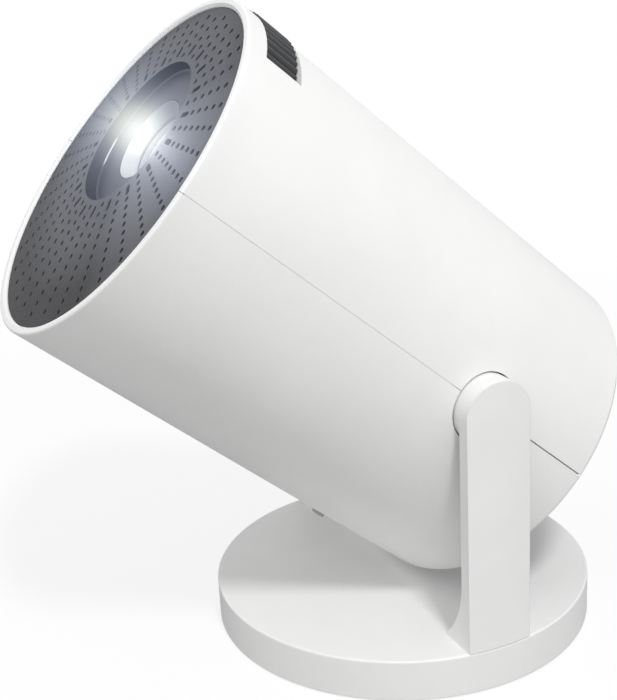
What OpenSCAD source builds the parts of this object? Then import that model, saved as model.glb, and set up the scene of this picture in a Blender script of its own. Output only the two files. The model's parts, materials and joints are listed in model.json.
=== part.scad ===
// Round tabletop projector: a cylindrical head that tilts between two arms on a disc base.
// Millimetres, +Z up. The origin is on the table, under the centre of the base.
// The lens looks towards -Y, and one hinge stands on each side, along X.
// Pieces of the head are drawn in the head's own axes: +Z out of the lens, +Y to the head's top,
// with the hinge line through the origin, and in_head() then tilts and lifts them.

/* [Head] */
// Outside diameter of the head
head_d = 105; // [104:0.5:112]
// Wall of the two half shells
shell_wall = 2.5; // [2.3:0.1:2.9]
// From the hinge line to the lens end of the head
front_len = 106.8; // [105:0.3:120]
// From the hinge line to the back end of the head
rear_len = 42.4; // [41.5:0.1:50]
// Radius on the outer edge of the front rim
front_edge = 0.7; // [0.3:0.1:1.6]
// Bevel on the inner edge of the front rim
lip_bevel = 0.7; // [0.2:0.1:0.8]
// Radius on the outer edge of the back end
rear_edge = 1.4; // [0.5:0.1:2.2]
// Tilt of the head as it stands, in degrees above level
rest_tilt = 40.8; // [0:0.1:90]
// Width of the seam between the shells, in front of the hinge
seam_front = 0.1; // [0.1:0.05:0.5]
// Width of the seam between the shells, behind the hinge
seam_rear = 0.35; // [0.2:0.05:0.9]
// Depth of the seam
seam_depth = 1; // [0.3:0.1:1.2]
// Width of the ledges that carry the two end covers
ledge_w = 3; // [2:0.5:4]
// Thickness of those ledges
ledge_t = 1.6; // [1:0.1:1.8]
// Gap round each end cover
cover_gap = 0.2; // [0.1:0.05:0.3]

/* [Front face] */
// How far the edge of the front face lies inside the rim
face_recess = 0.95; // [0.5:0.05:1.2]
// How much the middle of the front face bulges
dome_rise = 1.4; // [0.6:0.1:2]
// Thickness of the front face at its edge
face_t = 2.6; // [2:0.1:3]
// Height of the lens line above the middle of the head
lens_up = 10; // [9:0.5:11]
// Diameter of the opening round the lens
recess_d = 44; // [42:0.5:46]
// Wall of the collar behind that opening
collar_wall = 1.5; // [1:0.1:2]
// Number of rays in the hole pattern, an even number
ray_count = 40; // [20:2:44]
// Diameter of one hole
hole_d = 1.6; // [1:0.1:1.8]
// Distance between holes along a ray
hole_pitch = 3.18; // [2.6:0.02:4]
// Length of the slot at the start of every second ray
slot_len = 3.7; // [2.5:0.1:4]
// Plain margin at the edge of the hole pattern
hole_margin = 1.9; // [1.5:0.1:4]

/* [Focus] */
// How far the focus wheel stands out of the top of the head
wheel_proud = 0.8; // [0.5:0.1:1.8]
// Width of the focus wheel
wheel_w = 11; // [8:0.2:11.2]
// From the rim to the front of the focus wheel's window
window_start = 6.1; // [5.8:0.1:8]
// Half of the window's width, across the head
window_half = 34; // [30:0.5:36]
// Gap before and behind the focus wheel in its window
window_gap = 0.35; // [0.2:0.05:0.6]
// Distance between ribs round the focus wheel
rib_pitch = 3.1; // [2.8:0.1:5]
// Thickness of the focus wheel's ring
wheel_ring = 4.2; // [3.5:0.1:5]
// Outside radius of the sliding lens barrel
barrel_r = 15; // [14.5:0.1:15.5]
// Travel of the lens barrel each way
focus_travel = 2; // [1:0.25:2.5]
// Turn of the focus wheel each way, in degrees
focus_turn = 60; // [40:5:80]
// Running clearance on a radius
run_gap = 0.05; // [0.03:0.01:0.08]
// Diameter of the glass of the front lens
front_glass_d = 23.6; // [22:0.2:24]

/* [Base] */
// Height of the base, from the table
base_h = 13; // [12.5:0.5:18]
// Wall of the base cover
base_wall = 2.5; // [2:0.1:3]
// Thickness of the top of the base cover
base_top = 2.5; // [2:0.1:3]
// Thickness of the rubber foot ring
foot_t = 0.6; // [0.4:0.1:1]
// Thickness of the plate under the base
plate_t = 2; // [1.8:0.1:2.4]
// Thickness of the steel weight in the base
weight_t = 5.4; // [3:0.2:5.4]
// Radius of the tripod thread in the underside
thread_r = 3.175; // [2.5:0.025:3.2]

/* [Arms and hinges] */
// Gap between the head and each arm
arm_gap = 2.2; // [1.5:0.1:4]
// Thickness of each arm at its middle
arm_t = 4.8; // [4.2:0.1:7]
// Width of each arm
arm_w = 20; // [18:0.5:24]
// Gap between the tilting head's back edge and the base
swing_gap = 2.55; // [1.5:0.05:10]
// Radius of the curved foot inside each arm
foot_round = 28; // [20:1:32]
// Height of that curved foot above the base
foot_rise = 21; // [18:1:24]
// Gap round the hub in the side of the head
hub_gap = 0.4; // [0.2:0.05:0.8]
// Radius of the hinge pins
pin_r = 3; // [2.5:0.1:3.5]

/* [Inside] */
// Width of the light housing
housing_w = 62; // [56:1:62]
// Height of the light housing
housing_h = 46; // [42:1:46]
// Wall of the light housing
housing_wall = 2; // [1.5:0.1:2.5]
// Side of the square fan
fan_side = 50; // [46:1:50]
// Thickness of the fan
fan_t = 12; // [10:1:12]
// Number of fan blades
blade_count = 7; // [5:1:9]
// Width of the main board
board_w = 64; // [56:1:64]
// Length of the main board
board_len = 74; // [60:1:80]
// Thickness of the circuit boards
board_t = 1.6; // [1.2:0.1:2]
// Diameter of the loudspeaker
speaker_d = 31; // [26:1:32]
// Travel of the power button
button_travel = 0.8; // [0.4:0.1:1]

/* [Hidden] */
$fn = 96;

white = [0.93, 0.93, 0.92];
dark = [0.27, 0.27, 0.28];
black = [0.1, 0.1, 0.11];
steel = [0.7, 0.71, 0.73];
brass = [0.78, 0.62, 0.3];
board_green = [0.06, 0.3, 0.16];
clear = [0.75, 0.85, 0.95];

touch = 0.3;          // gap between neighbours that only stand close
thru = 1;             // how far a cut runs past the face it leaves
head_r = head_d / 2;
bore_r = head_r - shell_wall;
cover_r = bore_r - cover_gap;

// Arms, base and hinge
arm_x = head_r + arm_gap;
base_r = arm_x + arm_t;
hinge_h = base_h + norm([head_r, rear_len]) + swing_gap;
hub_r = arm_w / 2;
pocket_r = hub_r + hub_gap;
pocket_wall = 2.1;
pocket_x = head_r - 6;
floor_t = 3;
bracket_t = 2;
bracket_x = pocket_x - floor_t - touch - bracket_t;
bracket_w = 16;
bracket_screw_y = hub_r + 8;
washer_t = 1.2;
washer_r = pin_r + 2.5;
pin_head_t = 2;
pin_len_in_arm = 2.9;
screw_r = 1.4;
pilot_r = screw_r + 0.03;
free_r = screw_r + 0.2;
screw_head_r = 2.8;
screw_head_t = 1.1;
sunk_head_r = screw_head_r + 0.2;
boss_r = 3.4;
press_fit = 0.02;      // on the radius of a pin held tight
glass_fit = 0.05;      // on the radius of a lens in its seat

// Base, from the table up
cover_low = foot_t - 0.1;
plate_top = foot_t + plate_t;
plate_r = base_r - base_wall - touch;
base_screw_r = base_r - base_wall - boss_r - 2.7;
weight_r = base_screw_r - boss_r - 1.4;
foot_out = weight_r;
foot_in = foot_out - 16;
insert_r = thread_r + 1.9;
insert_flange_r = insert_r + 2;
insert_len = plate_top + weight_t;
screw_sink = 1.2;
arm_screw_x = base_r - 6;
arm_screw_y = arm_w / 4;
foot_curve_x = arm_x - foot_round;
foot_over_screw = foot_rise - sqrt(pow(foot_round, 2) - pow(arm_screw_x - pilot_r - foot_curve_x, 2));
arm_screw_len = foot_over_screw - 1.5;

// Front of the head, as distances back from the rim
face_back = face_recess + face_t;
collar_back = face_back + 2.4;
cup_front = 3;
cup_drop = 1;
cup_t = 1.6;
cup_seat = cup_front + cup_t + 0.2;
bezel_r = 12.3;
front_lens_r = front_glass_d / 2;
bezel_in = front_lens_r - 1.8;
bezel_len = 4;
bezel_throat = 3.5;
bezel_front = cup_front + cup_drop;
barrel_front = bezel_front + bezel_len;
barrel_len = 26;
front_seat = 5;
middle_seat = 14;
rear_seat = 7;
front_bulge = 2.2;
middle_bulge = 2;
rear_bulge = 2.5;
middle_lens_r = front_lens_r - 1.8;
rear_lens_r = barrel_r - 1.8;
stop_r = middle_lens_r - 1.2;
mount_front = barrel_front + focus_travel;
hub_front = mount_front + 1.2;
hub_len = 13.4;
mount_tail = 23.4;
mount_back = hub_front + hub_len + mount_tail;
mount_r = barrel_r + 2;
mount_flange_r = mount_r + 7;
mount_flange_t = 3;
shoulder_t = 2.5;
mount_screw_at = mount_flange_r - 3.5;
recess_r = recess_d / 2;
first_hole = recess_r + 2.25;
first_slot = recess_r + 3.8;

// Focus wheel, about the lens line
wheel_r = head_r + wheel_proud - lens_up;
wheel_front = window_start + window_gap;
wheel_back = wheel_front + wheel_w;
window_end = wheel_back + window_gap;
rib_r = rib_pitch / 2 * 0.98;
rib_count = floor(360 / (2 * asin(rib_pitch / 2 / (wheel_r - rib_r))));
wheel_inner = wheel_r - rib_r - wheel_ring + 0.6;
wheel_relief = wheel_r + 0.6;
wheel_web_t = 2;
wheel_hub_r = mount_r + 3;
web_hole_r = (wheel_inner - wheel_hub_r) / 3;
guide_pin_r = 1;
guide_pin_s = hub_front + 5.8;
guide_slot_r = guide_pin_r + 0.5;

// Back of the head, from the back end forwards
cover_t = 3;
rear_recess = 1;
cover_out_z = -rear_len + rear_recess;
cover_in_z = cover_out_z + cover_t;
cover_screw_at = bore_r - 6;
cover_screw_sink = 1.4;
cover_boss_len = 10;
fan_stand = 5;
fan_z = cover_in_z + fan_stand;
fan_front_z = fan_z + fan_t;
fan_r = fan_side / 2 - 1.4;
fan_hole_at = fan_side / 2 - 4;
sink_z = fan_front_z + 2.5;
fin_len = 16;
fin_t = 1.6;
fin_count = 11;
sink_w = 56;
sink_h = 40;
sink_base_t = 4;
sink_front_z = sink_z + fin_len + sink_base_t;
housing_z = sink_front_z + 4.5;
housing_end_z = front_len - mount_back;
sink_screw_x = sink_w / 2 - 4;
sink_screw_y = sink_h / 2 - 4;
led_side = 30;
emitter_t = 1.9;
condenser_r = 14;
condenser_rim = 2;
condenser_bulge = 5;
condenser_top = 0.1 + condenser_rim + condenser_bulge;
pane_step = (housing_end_z - housing_wall - housing_z - condenser_top) / 4;
fresnel_t = 2;
panel_t = 2.4;
panel_gap = 0.2;
lug_z = [14, housing_end_z - 6.5];
lug_x = housing_w / 2 + 5;
lug_t = 3;
lug_y = lens_up - housing_h / 2;
bumper_z = -8.5;
bumper_r = 2;
bumper_stem_r = 1.2;
bumper_proud = 1.1;

// Main board, hung low in the head
board_y = lug_y - 5.6;
board_z = cover_in_z + 0.1;
post_r = 3;
post_x = board_w / 2 - 5;
post_z = [board_z + 20, board_z + board_len - 12];
board_screw_len = 6;
speaker_r = speaker_d / 2;
speaker_y = -bore_r + speaker_r + 3.5;
speaker_front_z = front_len - wheel_back - 3.5;
speaker_t = 14;
cone_deep = 6;
magnet_r = speaker_r - 4;

// The sockets hang in one row under the board, between the two lower cover screws
audio_w = 8;
usb_w = 13.2;
video_w = 15;
power_w = 9;
row_half = cover_screw_at * cos(45) - boss_r - 0.9;
row_gap = (2 * row_half - audio_w - usb_w - video_w - power_w) / 3;
usb_x = -row_half + audio_w + row_gap + usb_w / 2;
video_x = row_half - power_w - row_gap - video_w / 2;

// Each socket: [place across, width, height]
audio_at = [-row_half + audio_w / 2, audio_w, 6];
usb_at = [usb_x, usb_w, 6];
video_at = [video_x, video_w, 5.6];
power_at = [row_half - power_w / 2, power_w, 8];
socket_len = 13;
socket_out_z = cover_out_z + 0.4;
socket_wall = 0.5;

button_y = bore_r - 8.5;
button_r = 4.4;
button_proud = 0.8;
button_board_z = cover_in_z + 4.4;
button_post_x = 7.5;
switch_board_w = 2 * button_post_x + 4;
switch_board_h = 7;
window_x = 14;
window_r = 2.55;
light_r = 1.25;

// --- helpers ---

module in_head() {
    translate([0, 0, hinge_h]) rotate([90 - rest_tilt, 0, 0]) children();
}

// Along X, starting at x
module across(x) {
    translate([x, 0, 0]) rotate([0, 90, 0]) children();
}

module ring(r_out, r_in, z, h) {
    translate([0, 0, z]) difference() {
        cylinder(r = r_out, h = h);
        translate([0, 0, -thru]) cylinder(r = r_in, h = h + 2 * thru);
    }
}

// A block centred in X and Y that starts at z
module block(w, h, z, len) {
    translate([-w / 2, -h / 2, z]) cube([w, h, len]);
}

// One screw with its head at z and its shank along +Z
module screw(len) {
    cylinder(r = screw_r, h = len, $fn = 32);
    translate([0, 0, -screw_head_t]) cylinder(r = screw_head_r, h = screw_head_t, $fn = 32);
}

module at_corners(x, y) {
    for (sx = [-1, 1]) for (sy = [-1, 1]) translate([sx * x, sy * y, 0]) children();
}

// Places children on both hinge sides; the second is mirrored across X
module both_sides() {
    children();
    mirror([1, 0, 0]) children();
}

// --- base ---

module base_cover() {
    color(white) difference() {
        union() {
            difference() {
                rotate_extrude() base_outline();
                translate([0, 0, -thru]) cylinder(r = base_r - base_wall, h = base_h - base_top + thru);
            }
            for (a = [45:90:315]) rotate([0, 0, a]) translate([base_screw_r, 0, plate_top]) {
                cylinder(r = boss_r, h = base_h - base_top / 2 - plate_top);
            }
        }
        for (a = [45:90:315]) rotate([0, 0, a]) translate([base_screw_r, 0, plate_top - thru]) {
            cylinder(r = pilot_r, h = 7 + thru, $fn = 32);
        }
        at_corners(arm_screw_x, arm_screw_y) {
            translate([0, 0, base_h - base_top - thru]) {
                cylinder(r = free_r, h = base_top + 2 * thru, $fn = 32);
            }
        }
    }
}

// Half section of the cover's outside, with its small rounded top edge
module base_outline() {
    edge = 0.6;
    translate([0, cover_low]) square([base_r - edge, base_h - cover_low]);
    translate([0, cover_low]) square([base_r, base_h - edge - cover_low]);
    translate([base_r - edge, base_h - edge]) circle(r = edge, $fn = 48);
}

module base_weight() {
    color(steel) ring(weight_r, insert_r + touch, plate_top, weight_t);
}

module base_plate() {
    color(dark) difference() {
        ring(plate_r, insert_r + 0.05, foot_t, plate_t);
        for (a = [45:90:315]) rotate([0, 0, a]) translate([base_screw_r, 0, 0]) {
            cylinder(r = free_r, h = plate_top + thru, $fn = 32);
            cylinder(r = sunk_head_r, h = foot_t + screw_sink, $fn = 32);
        }
    }
}

module rubber_foot() {
    color(black) ring(foot_out, foot_in, 0, foot_t);
}

module tripod_insert() {
    color(brass) difference() {
        union() {
            cylinder(r = insert_flange_r, h = foot_t);
            cylinder(r = insert_r, h = insert_len);
        }
        translate([0, 0, -thru]) cylinder(r = thread_r, h = insert_len + 2 * thru);
    }
}

module base_screws() {
    color(steel) for (a = [45:90:315]) {
        rotate([0, 0, a]) translate([base_screw_r, 0, foot_t + screw_sink]) screw(6.5);
    }
}

// --- arms and hinges ---

// Upright with a round top about the hinge line, flush with the side of the base
module arm_body() {
    arm_top = hinge_h - base_h;
    foot_top = base_h + foot_rise;
    intersection() {
        translate([0, 0, base_h]) cylinder(r = base_r, h = arm_top + hub_r + thru, $fn = 192);
        union() {
            across(arm_x) translate([-hinge_h, 0, 0]) cylinder(r = hub_r, h = arm_t + thru);
            translate([arm_x, -hub_r, base_h]) cube([arm_t + thru, arm_w, arm_top]);
            translate([arm_x - foot_rise, -hub_r, base_h]) difference() {
                cube([foot_rise + thru, arm_w, foot_rise]);
                translate([foot_rise - foot_round, -thru, foot_rise]) {
                    rotate([-90, 0, 0]) cylinder(r = foot_round, h = arm_w + 2 * thru, $fn = 128);
                }
            }
        }
    }
}

module arm() {
    hub_x = pocket_x + touch;
    difference() {
        union() {
            arm_body();
            translate([0, 0, hinge_h]) across(hub_x) cylinder(r = hub_r, h = arm_x - hub_x + thru);
        }
        translate([0, 0, hinge_h]) across(hub_x - thru) {
            cylinder(r = pin_r + press_fit, h = arm_x + pin_len_in_arm + 0.1 - hub_x + thru);
        }
        for (s = [-1, 1]) translate([arm_screw_x, s * arm_screw_y, base_h - thru]) {
            cylinder(r = pilot_r, h = arm_screw_len + thru, $fn = 32);
        }
    }
}

module right_arm() {
    color(white) arm();
}

module left_arm() {
    color(white) mirror([1, 0, 0]) arm();
}

module arm_screws() {
    color(steel) at_corners(arm_screw_x, arm_screw_y) {
        translate([0, 0, base_h - base_top]) screw(base_top + arm_screw_len - 0.5);
    }
}

module hinge_pin() {
    head_x = bracket_x - washer_t - pin_head_t;
    translate([0, 0, hinge_h]) {
        across(head_x) cylinder(r = washer_r, h = pin_head_t);
        across(head_x) cylinder(r = pin_r, h = arm_x + pin_len_in_arm - head_x);
    }
}

module right_hinge_pin() {
    color(steel) hinge_pin();
}

module left_hinge_pin() {
    color(steel) mirror([1, 0, 0]) hinge_pin();
}

module spring_washer() {
    translate([0, 0, hinge_h]) across(bracket_x - washer_t) {
        ring(washer_r, pin_r + press_fit, 0, washer_t);
    }
}

module right_spring_washer() {
    color(brass) spring_washer();
}

module left_spring_washer() {
    color(brass) mirror([1, 0, 0]) spring_washer();
}

// --- shells of the head ---

// Half section of the whole shell: wall, rounded ends and the two ledges
module shell_outline() {
    len = front_len + rear_len;
    difference() {
        translate([bore_r, -rear_len]) square([shell_wall, len]);
        translate([head_r - front_edge, front_len - front_edge]) rim_corner(front_edge);
        translate([head_r - rear_edge, rear_edge - rear_len]) mirror([0, 1]) rim_corner(rear_edge);
        polygon([
            [bore_r - thru, front_len + thru],
            [bore_r - thru, front_len - lip_bevel - thru],
            [bore_r + lip_bevel + thru, front_len + thru]
        ]);
    }
    translate([bore_r - ledge_w, front_len - face_back - ledge_t]) square([ledge_w + 0.5, ledge_t]);
    translate([bore_r - ledge_w, cover_in_z]) square([ledge_w + 0.5, ledge_t]);
}

// What the rounding takes off a square outer corner
module rim_corner(edge) {
    difference() {
        square(edge + thru);
        circle(r = edge, $fn = 64);
    }
}

// A column that grows out of the shell's inner wall, trimmed to the shell
module on_wall() {
    intersection() {
        cylinder(r = bore_r + 0.5, h = 2 * (front_len + rear_len), center = true);
        children();
    }
}

// Everything that both shells share, before the seam parts them
module shell_body() {
    rotate_extrude($fn = 192) shell_outline();
    on_wall() {
        both_sides() across(pocket_x - floor_t) cylinder(r = pocket_r + pocket_wall, h = floor_t + 8);
        both_sides() for (s = [-1, 1]) translate([0, s * bracket_screw_y, 0]) {
            across(bracket_x + bracket_t) cylinder(r = boss_r, h = 14);
        }
        for (a = [45:90:315]) rotate([0, 0, a]) translate([cover_screw_at, 0, cover_in_z]) {
            cylinder(r = boss_r, h = cover_boss_len);
            translate([0, -2, 0]) cube([10, 4, cover_boss_len]);
        }
    }
}

// Everything that is cut out of both shells
module shell_cuts() {
    both_sides() {
        across(pocket_x) cylinder(r = pocket_r, h = head_r);
        across(pocket_x - floor_t - thru) cylinder(r = pin_r + hub_gap, h = floor_t + 2 * thru);
        for (s = [-1, 1]) translate([0, s * bracket_screw_y, 0]) {
            across(bracket_x) cylinder(r = pilot_r, h = bracket_t + 3.7, $fn = 32);
        }
        seam(seam_front, front_len + thru);
        mirror([0, 0, 1]) seam(seam_rear, rear_len + thru);
    }
    for (a = [45:90:315]) rotate([0, 0, a]) translate([cover_screw_at, 0, cover_in_z - thru]) {
        cylinder(r = pilot_r, h = 8 + thru, $fn = 32);
    }
}

// Seam of width w from the hinge line to an end of the head, len away, and across that end
module seam(w, len) {
    translate([head_r - seam_depth, -w / 2, 0]) cube([2, w, len]);
    translate([bore_r - thru, -w / 2, len - thru - seam_depth]) cube([9, w, seam_depth + thru]);
}

module half_space() {
    translate([-head_d, 0, -2 * rear_len]) cube([2 * head_d, head_d, 2 * (front_len + rear_len)]);
}

module upper_shell() {
    color(white) in_head() difference() {
        intersection() {
            shell_body();
            half_space();
        }
        shell_cuts();
        translate([-window_half, 0, front_len - window_end]) {
            cube([2 * window_half, head_d, window_end - window_start]);
        }
        translate([0, lens_up, front_len - window_end]) {
            cylinder(r = wheel_relief, h = window_end - window_start);
        }
    }
}

module lower_shell() {
    color(white) in_head() difference() {
        union() {
            intersection() {
                shell_body();
                mirror([0, 1, 0]) half_space();
            }
            on_wall() lower_posts();
        }
        shell_cuts();
        lower_post_holes();
        rotate([90, 0, 0]) translate([0, bumper_z, bore_r - thru]) {
            cylinder(r = bumper_stem_r, h = shell_wall + 2 * thru, $fn = 48);
        }
    }
}

// From the lower wall up to height y, at a place given in X and Z
module post(x, z, y) {
    translate([x, -head_r, z]) rotate([-90, 0, 0]) cylinder(r = post_r, h = head_r + y, $fn = 48);
}

module lower_posts() {
    for (sx = [-1, 1]) for (z = post_z) post(sx * post_x, z, board_y - board_t);
    for (sx = [-1, 1]) for (z = lug_z) post(sx * lug_x, z, lug_y);
    for (z = [4, 10]) difference() {
        translate([-9, -head_r, speaker_front_z - z]) cube([18, 10, 1.6]);
        translate([0, speaker_y, speaker_front_z - z - thru]) cylinder(r = speaker_r + 0.1, h = 4);
    }
}

module lower_post_holes() {
    for (sx = [-1, 1]) for (z = post_z) post_hole(sx * post_x, z, board_y - board_t);
    for (sx = [-1, 1]) for (z = lug_z) post_hole(sx * lug_x, z, lug_y);
}

module post_hole(x, z, y) {
    translate([x, y - 7, z]) rotate([-90, 0, 0]) cylinder(r = pilot_r, h = 7 + thru, $fn = 32);
}

module under_bumper() {
    color(black) in_head() rotate([90, 0, 0]) translate([0, bumper_z, 0]) {
        translate([0, 0, bore_r]) cylinder(r = bumper_stem_r - press_fit, h = shell_wall, $fn = 48);
        translate([0, 0, head_r]) cylinder(r = bumper_r, h = bumper_proud, $fn = 48);
    }
}

module hinge_bracket() {
    plate_h = 2 * bracket_screw_y + 8;
    in_head() difference() {
        translate([bracket_x, -plate_h / 2, -bracket_w / 2]) cube([bracket_t, plate_h, bracket_w]);
        across(bracket_x - thru) cylinder(r = pin_r + run_gap, h = bracket_t + 2 * thru);
        for (s = [-1, 1]) translate([0, s * bracket_screw_y, 0]) {
            across(bracket_x - thru) cylinder(r = free_r, h = bracket_t + 2 * thru, $fn = 32);
        }
    }
}

module right_hinge_bracket() {
    color(steel) hinge_bracket();
}

module left_hinge_bracket() {
    color(steel) mirror([1, 0, 0]) hinge_bracket();
}

module bracket_screws() {
    color(steel) in_head() both_sides() for (s = [-1, 1]) {
        translate([0, s * bracket_screw_y, 0]) across(bracket_x) screw(bracket_t + 3.2);
    }
}

// --- front face ---

module front_grille() {
    color(dark) in_head() difference() {
        union() {
            translate([0, 0, front_len]) rotate_extrude($fn = 192) face_outline();
            translate([0, lens_up, front_len - collar_back]) {
                cylinder(r = recess_r + collar_wall, h = collar_back - face_back + 0.5);
            }
        }
        translate([0, lens_up, front_len - cup_seat]) cylinder(r = recess_r, h = 20, $fn = 128);
        translate([0, lens_up, 0]) cylinder(r = recess_r - 1.5, h = front_len);
        translate([0, lens_up, front_len - face_back - thru]) linear_extrude(12) hole_pattern();
    }
}

// Half section of the front face: flat behind, gently domed in front
module face_outline() {
    steps = 8;
    dome = [for (i = [0:steps]) let (r = cover_r * i / steps)
        [r, dome_rise * (1 - pow(r / cover_r, 2)) - face_recess]];
    polygon(concat(dome, [[cover_r, -face_back], [0, -face_back]]));
}

// Rays of holes about the lens line; every second ray starts with a slot
module hole_pattern() {
    step = 360 / ray_count;
    for (k = [0:ray_count - 1]) rotate(90 + k * step) {
        if (k % 2 == 0) {
            slot_shape(first_slot);
            hole_row(first_slot + slot_len, 90 + k * step);
        } else {
            hole_row(first_hole, 90 + k * step);
        }
    }
}

module slot_shape(r) {
    half = (slot_len - hole_d) / 2;
    translate([r - half, -hole_d / 2]) square([2 * half, hole_d]);
    for (s = [-1, 1]) translate([r + s * half, 0]) circle(d = hole_d, $fn = 24);
}

// Holes from radius r outwards, as far as the round face reaches in this direction
module hole_row(r, angle) {
    for (i = [0:20]) {
        at = r + i * hole_pitch;
        if (norm([at * cos(angle), at * sin(angle) + lens_up]) < cover_r - hole_margin) {
            translate([at, 0]) circle(d = hole_d, $fn = 24);
        }
    }
}

module lens_cup() {
    color(dark) in_head() translate([0, lens_up, front_len]) rotate_extrude($fn = 128) polygon([
        [bezel_r + touch, -cup_front - cup_drop],
        [recess_r - 0.15, -cup_front],
        [recess_r - 0.15, -cup_front - cup_t],
        [bezel_r + touch, -cup_front - cup_drop - cup_t]
    ]);
}

// --- focusing lens ---

module lens_mount() {
    tube_len = mount_back - mount_front;
    shoulder_s = hub_front + hub_len + 0.1;
    color(black) in_head() translate([0, lens_up, front_len]) difference() {
        union() {
            translate([0, 0, -mount_back]) cylinder(r = mount_r, h = tube_len);
            translate([0, 0, -mount_back]) cylinder(r = mount_flange_r, h = mount_flange_t);
            translate([0, 0, -shoulder_s - shoulder_t]) cylinder(r = mount_r + 2, h = shoulder_t);
        }
        translate([0, 0, -mount_back - thru]) cylinder(r = barrel_r + run_gap, h = tube_len + 2 * thru);
        both_sides() guide_slot();
        for (a = [45:90:315]) rotate([0, 0, a]) translate([mount_screw_at, 0, -mount_back - thru]) {
            cylinder(r = free_r, h = mount_flange_t + 2 * thru, $fn = 32);
        }
    }
}

// Straight slot that keeps the barrel from turning
module guide_slot() {
    slot_r = guide_pin_r + run_gap;
    reach = focus_travel + 0.4;
    for (s = [-1, 1]) translate([0, 0, s * reach - guide_pin_s]) {
        across(barrel_r - thru) cylinder(r = slot_r, h = 5, $fn = 48);
    }
    translate([barrel_r - thru, -slot_r, -guide_pin_s - reach]) cube([5, 2 * slot_r, 2 * reach]);
}

module mount_screws() {
    color(steel) in_head() translate([0, lens_up, housing_end_z + mount_flange_t]) {
        for (a = [45:90:315]) rotate([0, 0, a]) translate([mount_screw_at, 0, 0]) {
            mirror([0, 0, 1]) screw(mount_flange_t + housing_wall - 0.3);
        }
    }
}

module retaining_ring() {
    color(steel) in_head() translate([0, lens_up, front_len]) {
        ring(mount_r + 1.6, mount_r + press_fit, -hub_front + 0.1, 0.8);
    }
}

module focus_wheel() {
    color(dark) in_head() translate([0, lens_up, front_len]) difference() {
        union() {
            translate([0, 0, -wheel_back]) linear_extrude(wheel_w) wheel_outline();
            ring(wheel_inner + 0.5, mount_r + 1, -wheel_back, wheel_web_t);
            translate([0, 0, -hub_front - hub_len]) cylinder(r = wheel_hub_r, h = hub_len);
        }
        translate([0, 0, -hub_front - hub_len - thru]) cylinder(r = mount_r + run_gap, h = hub_len + 20);
        for (a = [30:60:330]) rotate([0, 0, a]) {
            translate([(wheel_hub_r + wheel_inner) / 2, 0, -wheel_back - thru]) {
                cylinder(r = web_hole_r, h = wheel_web_t + 2 * thru, $fn = 48);
            }
        }
        for (side = [0, 180]) rotate([0, 0, side]) cam_slot();
    }
}

// Ribbed ring of the wheel, seen along the lens line
module wheel_outline() {
    difference() {
        union() {
            circle(r = wheel_r - rib_r);
            for (i = [0:rib_count - 1]) rotate(90 + i * 360 / rib_count) {
                translate([wheel_r - rib_r, 0]) circle(r = rib_r, $fn = 32);
            }
        }
        circle(r = wheel_inner);
    }
}

// Slanting slot through the wheel's hub, as a run of round cuts: it drives the guide pins
module cam_slot() {
    cut_step = 5;
    lead = focus_travel / focus_turn;
    cuts = ceil((focus_turn + 2) / cut_step);
    for (i = [-cuts:cuts]) rotate([0, 0, i * cut_step]) {
        translate([0, 0, -guide_pin_s - lead * i * cut_step]) {
            across(mount_r - 0.5) cylinder(r = guide_slot_r, h = 5, $fn = 32);
        }
    }
}

module lens_barrel() {
    color(black) in_head() translate([0, lens_up, front_len]) difference() {
        translate([0, 0, -barrel_front - barrel_len]) cylinder(r = barrel_r, h = barrel_len);
        translate([0, 0, -barrel_front - front_seat]) {
            cylinder(r = front_lens_r + glass_fit, h = front_seat + thru);
        }
        translate([0, 0, -barrel_front - middle_seat]) {
            cylinder(r = middle_lens_r + glass_fit, h = middle_seat);
        }
        translate([0, 0, -barrel_front - barrel_len - thru]) cylinder(r = stop_r, h = barrel_len);
        translate([0, 0, -barrel_front - barrel_len - thru]) {
            cylinder(r = rear_lens_r + glass_fit, h = rear_seat + thru);
        }
        both_sides() translate([0, 0, -guide_pin_s]) {
            across(barrel_r - 2) cylinder(r = guide_pin_r + press_fit, h = 4, $fn = 32);
        }
    }
}

module guide_pins() {
    color(steel) in_head() translate([0, lens_up, front_len - guide_pin_s]) both_sides() {
        across(barrel_r - 2) cylinder(r = guide_pin_r, h = wheel_hub_r - barrel_r + 1.4, $fn = 48);
    }
}

module lens_bezel() {
    color(steel) in_head() translate([0, lens_up, front_len]) rotate_extrude($fn = 128) polygon([
        [bezel_r, -bezel_front],
        [bezel_r, -barrel_front],
        [bezel_in, -barrel_front],
        [bezel_in, -bezel_front - bezel_throat],
        [bezel_r - 0.2, -bezel_front]
    ]);
}

// A round lens of radius r: a rim from z down, bulging up by rise
module dome_lens(r, rim, rise) {
    ball = (r * r + rise * rise) / (2 * rise);
    cylinder(r = r, h = rim);
    translate([0, 0, rim]) intersection() {
        cylinder(r = r, h = rise + thru);
        translate([0, 0, rise - ball]) sphere(r = ball, $fn = 200);
    }
}

module front_lens() {
    color(clear) in_head() translate([0, lens_up, front_len - barrel_front - front_seat]) {
        dome_lens(front_lens_r, front_seat - 0.8, front_bulge);
    }
}

module middle_lens() {
    color(clear) in_head() translate([0, lens_up, front_len - barrel_front - middle_seat]) {
        dome_lens(middle_lens_r, 3, middle_bulge);
    }
}

module rear_lens() {
    color(clear) in_head() translate([0, lens_up, front_len - barrel_front - barrel_len + rear_seat]) {
        mirror([0, 0, 1]) dome_lens(rear_lens_r, 3, rear_bulge);
    }
}

// --- light housing and its optics ---

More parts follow.
